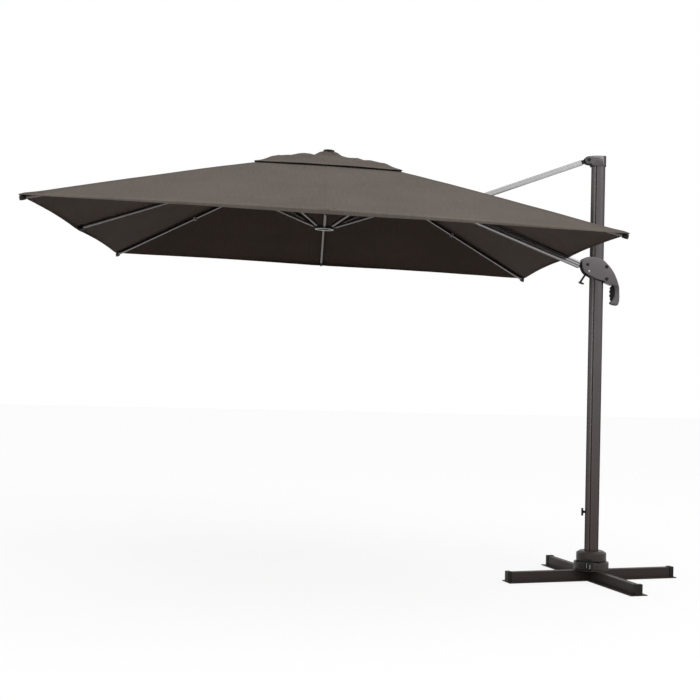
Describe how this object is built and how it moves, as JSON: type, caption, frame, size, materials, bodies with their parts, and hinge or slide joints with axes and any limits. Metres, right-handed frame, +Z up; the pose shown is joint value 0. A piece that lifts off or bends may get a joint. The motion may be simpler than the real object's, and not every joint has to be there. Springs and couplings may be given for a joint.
{
  "type": "cantilever parasol",
  "caption": "Square cantilever parasol: a vented canopy hung on ribs from a boom, a tie bar and a carriage that slides on an oval mast over a cross base with a swivel.",
  "frame": {"origin": "on the floor, under the mast's axis", "axes": "+Z up the mast; the boom and the canopy reach towards -X; the carriage's grip is on the +X side of the mast"},
  "size_m": [3.7462, 3, 2.602],
  "materials": {
    "base_paint": "dark brown-grey powder coat, satin",
    "collar_paint": "die casting under dark grey powder coat, satin",
    "mast_anodised": "grey anodised extrusion, satin",
    "boom_anodised": "light grey anodised extrusion, satin",
    "tie_silver": "bright silver anodised tube, fine drawing lines",
    "cap_grey": "metallic grey moulding, glossy",
    "housing_grey": "metallic grey moulding, satin",
    "grip_rubber": "black, matt",
    "black_plastic": "black nylon moulding, matt",
    "hub_plastic": "black glass-filled nylon, matt",
    "bolt_steel": "zinc-plated steel",
    "rib_metal": "dark painted tube, satin",
    "canopy_cloth": "taupe woven polyester, matt"
  },
  "bodies": {
    "base": {"base_rail_lower": "base_paint", "base_rail_lower_cap_a": "black_plastic", "base_rail_lower_cap_b": "black_plastic", "base_rail_upper": "base_paint", "base_rail_upper_cap_a": "black_plastic", "base_rail_upper_cap_b": "black_plastic", "base_plate": "base_paint", "swivel_base": "base_paint", "base_bolt_1": "bolt_steel", "base_bolt_2": "bolt_steel", "base_bolt_3": "bolt_steel", "base_bolt_4": "bolt_steel", "pedal_pin": "bolt_steel", "bearing_ring": "black_plastic"},
    "pedal": {"foot_pedal": "black_plastic"},
    "mast": {"swivel_collar": "collar_paint", "mast_tube": "mast_anodised", "mast_top_cap": "cap_grey", "top_pivot_bolt": "bolt_steel"},
    "knob": {"mast_knob": "black_plastic"},
    "tie": {"tie_bar": "tie_silver", "tie_fork": "black_plastic", "tie_eye": "black_plastic"},
    "boom": {"boom_tube": "boom_anodised", "boom_head": "black_plastic", "boom_foot": "black_plastic", "tie_pivot_bolt": "bolt_steel"},
    "carriage": {"housing_front": "housing_grey", "housing_rear": "housing_grey", "carriage_glide": "black_plastic", "grip_pad": "grip_rubber", "boom_pivot_bolt": "bolt_steel", "housing_screw_1": "bolt_steel", "housing_screw_2": "bolt_steel"},
    "lever": {"release_lever": "black_plastic"},
    "hub": {"hub": "hub_plastic", "hub_cap": "hub_plastic", "canopy": "canopy_cloth", "vent_canopy": "canopy_cloth"},
    "strut_boom": {"strut_boom": "rib_metal"},
    "runner": {"runner": "hub_plastic"},
    "rib_back_inner": {"rib_back_inner": "rib_metal"},
    "strut_back_inner": {"strut_back_inner": "rib_metal"},
    "rib_back": {"rib_back": "rib_metal"},
    "strut_back": {"strut_back": "rib_metal"},
    "rib_back_outer": {"rib_back_outer": "rib_metal"},
    "strut_back_outer": {"strut_back_outer": "rib_metal"},
    "rib_outer": {"rib_outer": "rib_metal"},
    "strut_outer": {"strut_outer": "rib_metal"},
    "rib_front_outer": {"rib_front_outer": "rib_metal"},
    "strut_front_outer": {"strut_front_outer": "rib_metal"},
    "rib_front": {"rib_front": "rib_metal"},
    "strut_front": {"strut_front": "rib_metal"},
    "rib_front_inner": {"rib_front_inner": "rib_metal"},
    "strut_front_inner": {"strut_front_inner": "rib_metal"}
  },
  "joints": [
    {"name": "mast_swivel", "type": "hinge", "parent": "base", "child": "mast", "pos_m": [0, 0, 0.1196], "axis": [0, 0, 1], "continuous": true},
    {"name": "pedal_press", "type": "hinge", "parent": "base", "child": "pedal", "pos_m": [-0.03944, -0.07417, 0.0928], "axis": [0.8829, -0.4695, 0], "range_deg": [0, 10], "stiffness_Nm_per_rad": 2, "springref_deg": -5.73},
    {"name": "knob_turn", "type": "hinge", "parent": "mast", "child": "knob", "pos_m": [-0.042, 0, 0.413], "axis": [1, 0, 0], "continuous": true},
    {"name": "tie_fold", "type": "hinge", "parent": "mast", "child": "tie", "pos_m": [-0.065, 0, 2.575], "axis": [0, -1, 0], "range_deg": [0, 59], "deforming": ["canopy", "vent_canopy"]},
    {"name": "boom_fold", "type": "hinge", "parent": "tie", "child": "boom", "pos_m": [-0.94, 0, 2.2525], "axis": [0, 1, 0], "range_deg": [0, 118.5]},
    {"name": "carriage_fold", "type": "hinge", "parent": "boom", "child": "carriage", "pos_m": [-0.065, 0, 1.93], "axis": [0, -1, 0], "range_deg": [0, 59.5]},
    {"name": "hub_fold", "type": "hinge", "parent": "boom", "child": "hub", "pos_m": [-1.62009, 0, 2.5485], "axis": [0, -1, 0], "range_deg": [0, 59.5]},
    {"name": "strut_boom_fold", "type": "hinge", "parent": "boom", "child": "strut_boom", "pos_m": [-1.03996, 0, 2.31065], "axis": [0, 1, 0], "range_deg": [-118.5, 0]},
    {"name": "runner_fold", "type": "hinge", "parent": "strut_boom", "child": "runner", "pos_m": [-1.63656, 0, 2.11781], "axis": [0, 1, 0], "range_deg": [0, 59.5]},
    {"name": "release_lever_press", "type": "hinge", "parent": "carriage", "child": "lever", "pos_m": [-0.056, 0, 1.888], "axis": [0, 1, 0], "range_deg": [0, 25], "stiffness_Nm_per_rad": 0.5, "springref_deg": -11.46},
    {"name": "rib_back_inner_fold", "type": "hinge", "parent": "hub", "child": "rib_back_inner", "pos_m": [-1.63326, 0.03182, 2.549], "axis": [-0.7066, 0.7071, 0.027], "range_deg": [0, 65]},
    {"name": "strut_back_inner_fold", "type": "hinge", "parent": "rib_back_inner", "child": "strut_back_inner", "pos_m": [-1.22614, 0.4452, 2.37754], "axis": [-0.7066, 0.7071, 0.027], "range_deg": [-120, 0]},
    {"name": "rib_back_fold", "type": "hinge", "parent": "hub", "child": "rib_back", "pos_m": [-1.66506, 0.045, 2.55022], "axis": [-0.9993, 0, 0.0382], "range_deg": [0, 59.5]},
    {"name": "strut_back_fold", "type": "hinge", "parent": "rib_back", "child": "strut_back", "pos_m": [-1.6733, 0.6338, 2.33487], "axis": [-0.9993, 0, 0.0382], "range_deg": [-118.5, 0]},
    {"name": "rib_back_outer_fold", "type": "hinge", "parent": "hub", "child": "rib_back_outer", "pos_m": [-1.69686, 0.03182, 2.55143], "axis": [-0.7066, -0.7071, 0.027], "range_deg": [0, 65]},
    {"name": "strut_back_outer_fold", "type": "hinge", "parent": "rib_back_outer", "child": "strut_back_outer", "pos_m": [-2.11588, 0.4452, 2.41157], "axis": [-0.7066, -0.7071, 0.027], "range_deg": [-120, 0]},
    {"name": "rib_outer_fold", "type": "hinge", "parent": "hub", "child": "rib_outer", "pos_m": [-1.71003, 0, 2.55194], "axis": [0, -1, 0], "range_deg": [0, 59.5]},
    {"name": "strut_outer_fold", "type": "hinge", "parent": "rib_outer", "child": "strut_outer", "pos_m": [-2.30663, 0, 2.35909], "axis": [0, -1, 0], "range_deg": [-118.5, 0]},
    {"name": "rib_front_outer_fold", "type": "hinge", "parent": "hub", "child": "rib_front_outer", "pos_m": [-1.69686, -0.03182, 2.55143], "axis": [0.7066, -0.7071, -0.027], "range_deg": [0, 65]},
    {"name": "strut_front_outer_fold", "type": "hinge", "parent": "rib_front_outer", "child": "strut_front_outer", "pos_m": [-2.11588, -0.4452, 2.41157], "axis": [0.7066, -0.7071, -0.027], "range_deg": [-120, 0]},
    {"name": "rib_front_fold", "type": "hinge", "parent": "hub", "child": "rib_front", "pos_m": [-1.66506, -0.045, 2.55022], "axis": [0.9993, 0, -0.0382], "range_deg": [0, 59.5]},
    {"name": "strut_front_fold", "type": "hinge", "parent": "rib_front", "child": "strut_front", "pos_m": [-1.6733, -0.6338, 2.33487], "axis": [0.9993, 0, -0.0382], "range_deg": [-118.5, 0]},
    {"name": "rib_front_inner_fold", "type": "hinge", "parent": "hub", "child": "rib_front_inner", "pos_m": [-1.63326, -0.03182, 2.549], "axis": [0.7066, 0.7071, -0.027], "range_deg": [0, 65]},
    {"name": "strut_front_inner_fold", "type": "hinge", "parent": "rib_front_inner", "child": "strut_front_inner", "pos_m": [-1.22614, -0.4452, 2.37754], "axis": [0.7066, 0.7071, -0.027], "range_deg": [-120, 0]}
  ],
  "couplings": [
    {"joint": "boom_fold", "follows": "tie_fold", "ratio": 2},
    {"joint": "carriage_fold", "follows": "tie_fold", "ratio": 1},
    {"joint": "hub_fold", "follows": "tie_fold", "ratio": 1},
    {"joint": "strut_boom_fold", "follows": "tie_fold", "ratio": -2},
    {"joint": "runner_fold", "follows": "tie_fold", "ratio": 1},
    {"joint": "rib_back_inner_fold", "follows": "tie_fold", "ratio": 1.0939},
    {"joint": "strut_back_inner_fold", "follows": "tie_fold", "ratio": -2.0248},
    {"joint": "rib_back_fold", "follows": "tie_fold", "ratio": 1},
    {"joint": "strut_back_fold", "follows": "tie_fold", "ratio": -2},
    {"joint": "rib_back_outer_fold", "follows": "tie_fold", "ratio": 1.0939},
    {"joint": "strut_back_outer_fold", "follows": "tie_fold", "ratio": -2.0248},
    {"joint": "rib_outer_fold", "follows": "tie_fold", "ratio": 1},
    {"joint": "strut_outer_fold", "follows": "tie_fold", "ratio": -2},
    {"joint": "rib_front_outer_fold", "follows": "tie_fold", "ratio": 1.0939},
    {"joint": "strut_front_outer_fold", "follows": "tie_fold", "ratio": -2.0248},
    {"joint": "rib_front_fold", "follows": "tie_fold", "ratio": 1},
    {"joint": "strut_front_fold", "follows": "tie_fold", "ratio": -2},
    {"joint": "rib_front_inner_fold", "follows": "tie_fold", "ratio": 1.0939},
    {"joint": "strut_front_inner_fold", "follows": "tie_fold", "ratio": -2.0248}
  ]
}
